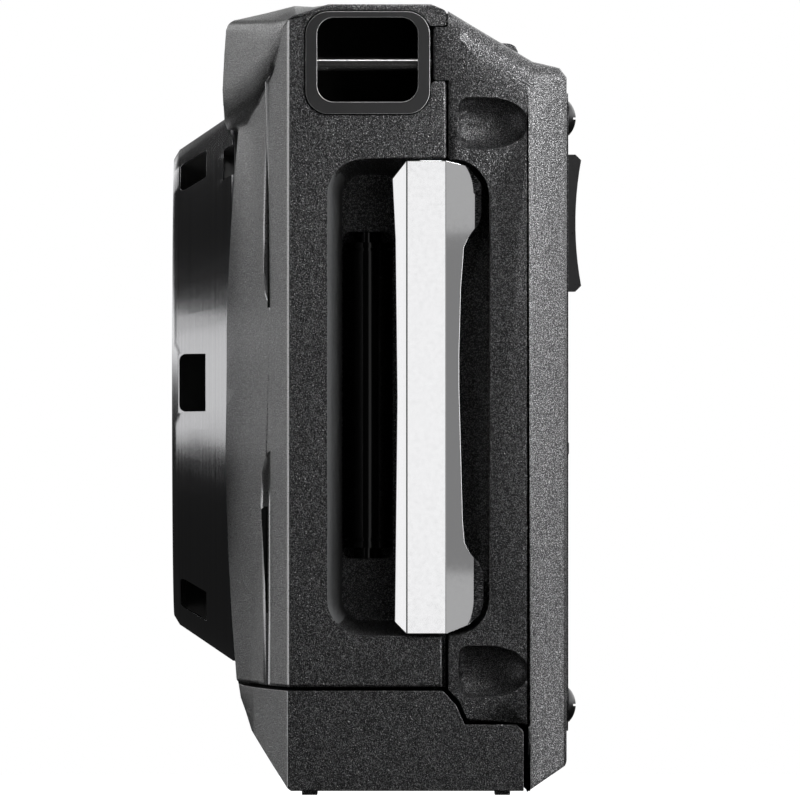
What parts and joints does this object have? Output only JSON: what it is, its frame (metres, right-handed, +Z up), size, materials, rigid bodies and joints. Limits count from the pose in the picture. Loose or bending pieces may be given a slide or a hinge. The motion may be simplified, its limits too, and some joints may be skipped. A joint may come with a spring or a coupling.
{
  "type": "waterproof digital camera",
  "caption": "Rugged waterproof compact camera with a ringed lens, a guard bar over its end recess, a strap lug, a hinged battery door and pressing keys.",
  "frame": {"origin": "middle of the bounding box's underside, at the soles of the four low feet", "axes": "+X towards the end with the guard bar and the strap lug, -Y towards the lens, +Y towards the screen, +Z up"},
  "size_m": [0.1182, 0.0352, 0.0661],
  "materials": {
    "body_paint": "near-black charcoal paint with a fine grey sparkle",
    "plate_paint": "near-black charcoal paint, smoother",
    "rubber": "matt black rubber",
    "ring_metal": "black anodised, turned",
    "frosted_ring": "frosted clear plastic",
    "circuit_board": "green solder mask",
    "clear_glass": "clear coated glass",
    "mirror_metal": "bright reflector",
    "battery_wrap": "dark plastic wrap",
    "bar_chrome": "polished bright chrome",
    "steel": "bright steel",
    "barrel_gloss": "gloss black",
    "dark_plastic": "matt black plastic",
    "card_plastic": "dark blue plastic",
    "dark_steel": "blackened steel",
    "screen_glass": "black glossy screen window",
    "display": "dark display panel",
    "key_plastic": "satin black plastic",
    "key_metal": "satin metal",
    "motor_metal": "drawn steel can",
    "sensor": "dark glossy chip",
    "sheet_metal": "pressed sheet",
    "brass_thread": "plain brass"
  },
  "bodies": {
    "camera_body": {"front_shell": "body_paint", "rear_shell": "body_paint", "back_plate": "plate_paint", "grip_pad": "rubber", "lens_ring": "ring_metal", "light_ring": "frosted_ring", "led_board": "circuit_board", "lens_cover_glass": "clear_glass", "flash_window": "clear_glass", "flash_unit": "mirror_metal", "flash_capacitor": "battery_wrap", "focus_lamp_window": "clear_glass", "guard_bar": "bar_chrome", "guard_bar_screws": "steel", "recess_barrel": "barrel_gloss", "strap_lug_frame": "dark_plastic", "strap_pin": "steel", "door_hinge_pin": "steel", "battery_bay": "dark_plastic", "battery": "battery_wrap", "memory_card": "card_plastic", "usb_socket": "steel", "shell_gasket": "rubber", "back_screws": "dark_steel", "lcd_window": "screen_glass", "lcd_module": "display", "key_mat": "rubber", "control_board": "circuit_board", "rocker_pin": "steel", "top_key_mat": "rubber", "lens_housing": "dark_plastic", "front_element": "clear_glass", "prism": "clear_glass", "zoom_motor": "motor_metal", "focus_motor": "motor_metal", "guide_rods": "steel", "image_sensor": "sensor", "chassis_plate": "sheet_metal", "main_board": "circuit_board", "tripod_socket": "brass_thread", "speaker": "dark_plastic"},
    "battery_door": {"battery_door": "body_paint", "door_gasket": "rubber"},
    "door_lock": {"door_lock_slider": "dark_plastic"},
    "shutter_button": {"shutter_button": "key_metal"},
    "power_button": {"power_button": "key_metal"},
    "zoom_rocker": {"zoom_rocker": "key_plastic"},
    "zoom_group": {"zoom_group": "dark_plastic"},
    "zoom_lead_screw": {"zoom_lead_screw": "steel"},
    "focus_group": {"focus_group": "dark_plastic"},
    "focus_lead_screw": {"focus_lead_screw": "steel"},
    "playback_button": {"playback_button": "key_plastic"},
    "movie_button": {"movie_button": "key_plastic"},
    "menu_button": {"menu_button": "key_plastic"},
    "delete_button": {"delete_button": "key_plastic"},
    "arrow_key_up": {"arrow_key_up": "key_plastic"},
    "arrow_key_down": {"arrow_key_down": "key_plastic"},
    "arrow_key_left": {"arrow_key_left": "key_plastic"},
    "arrow_key_right": {"arrow_key_right": "key_plastic"},
    "ok_button": {"ok_button": "key_plastic"}
  },
  "joints": [
    {"name": "door_hinge", "type": "hinge", "parent": "camera_body", "child": "battery_door", "pos_m": [0.0092, 0, 0.0016], "axis": [0, 1, 0], "range_deg": [0, 95]},
    {"name": "door_lock_slide", "type": "slide", "parent": "battery_door", "child": "door_lock", "axis": [0, 1, 0], "range_m": [0, 0.0025]},
    {"name": "shutter_press", "type": "slide", "parent": "camera_body", "child": "shutter_button", "axis": [0, 0, -1], "range_m": [0, 0.0004], "stiffness_N_per_m": 1500},
    {"name": "power_press", "type": "slide", "parent": "camera_body", "child": "power_button", "axis": [0, 0, -1], "range_m": [0, 0.0004], "stiffness_N_per_m": 1500},
    {"name": "zoom_rocker_tilt", "type": "hinge", "parent": "camera_body", "child": "zoom_rocker", "pos_m": [-0.0492, 0.01342, 0.0483], "axis": [1, 0, 0], "range_deg": [-4, 4], "stiffness_Nm_per_rad": 0.03},
    {"name": "playback_press", "type": "slide", "parent": "camera_body", "child": "playback_button", "axis": [0, -1, 0], "range_m": [0, 0.0003], "stiffness_N_per_m": 1500},
    {"name": "movie_press", "type": "slide", "parent": "camera_body", "child": "movie_button", "axis": [0, -1, 0], "range_m": [0, 0.0003], "stiffness_N_per_m": 1500},
    {"name": "menu_press", "type": "slide", "parent": "camera_body", "child": "menu_button", "axis": [0, -1, 0], "range_m": [0, 0.0003], "stiffness_N_per_m": 1500},
    {"name": "delete_press", "type": "slide", "parent": "camera_body", "child": "delete_button", "axis": [0, -1, 0], "range_m": [0, 0.0003], "stiffness_N_per_m": 1500},
    {"name": "arrow_key_up_press", "type": "slide", "parent": "camera_body", "child": "arrow_key_up", "axis": [0, -1, 0], "range_m": [0, 0.0003], "stiffness_N_per_m": 1500},
    {"name": "arrow_key_down_press", "type": "slide", "parent": "camera_body", "child": "arrow_key_down", "axis": [0, -1, 0], "range_m": [0, 0.0003], "stiffness_N_per_m": 1500},
    {"name": "arrow_key_left_press", "type": "slide", "parent": "camera_body", "child": "arrow_key_left", "axis": [0, -1, 0], "range_m": [0, 0.0003], "stiffness_N_per_m": 1500},
    {"name": "arrow_key_right_press", "type": "slide", "parent": "camera_body", "child": "arrow_key_right", "axis": [0, -1, 0], "range_m": [0, 0.0003], "stiffness_N_per_m": 1500},
    {"name": "ok_press", "type": "slide", "parent": "camera_body", "child": "ok_button", "axis": [0, -1, 0], "range_m": [0, 0.0003], "stiffness_N_per_m": 1500},
    {"name": "zoom_group_slide", "type": "slide", "parent": "camera_body", "child": "zoom_group", "axis": [-1, 0, 0], "range_m": [0, 0.009]},
    {"name": "zoom_screw_spin", "type": "hinge", "parent": "camera_body", "child": "zoom_lead_screw", "pos_m": [-0.015, -0.001, 0.0455], "axis": [1, 0, 0], "range_deg": [0, 1081]},
    {"name": "focus_group_slide", "type": "slide", "parent": "camera_body", "child": "focus_group", "axis": [-1, 0, 0], "range_m": [0, 0.005]},
    {"name": "focus_screw_spin", "type": "hinge", "parent": "camera_body", "child": "focus_lead_screw", "pos_m": [-0.035, -0.001, 0.0223], "axis": [1, 0, 0], "range_deg": [0, 601]}
  ],
  "couplings": [
    {"joint": "zoom_screw_spin", "follows": "zoom_group_slide", "rad_per_m": 2094.4},
    {"joint": "focus_screw_spin", "follows": "focus_group_slide", "rad_per_m": 2094.4}
  ]
}
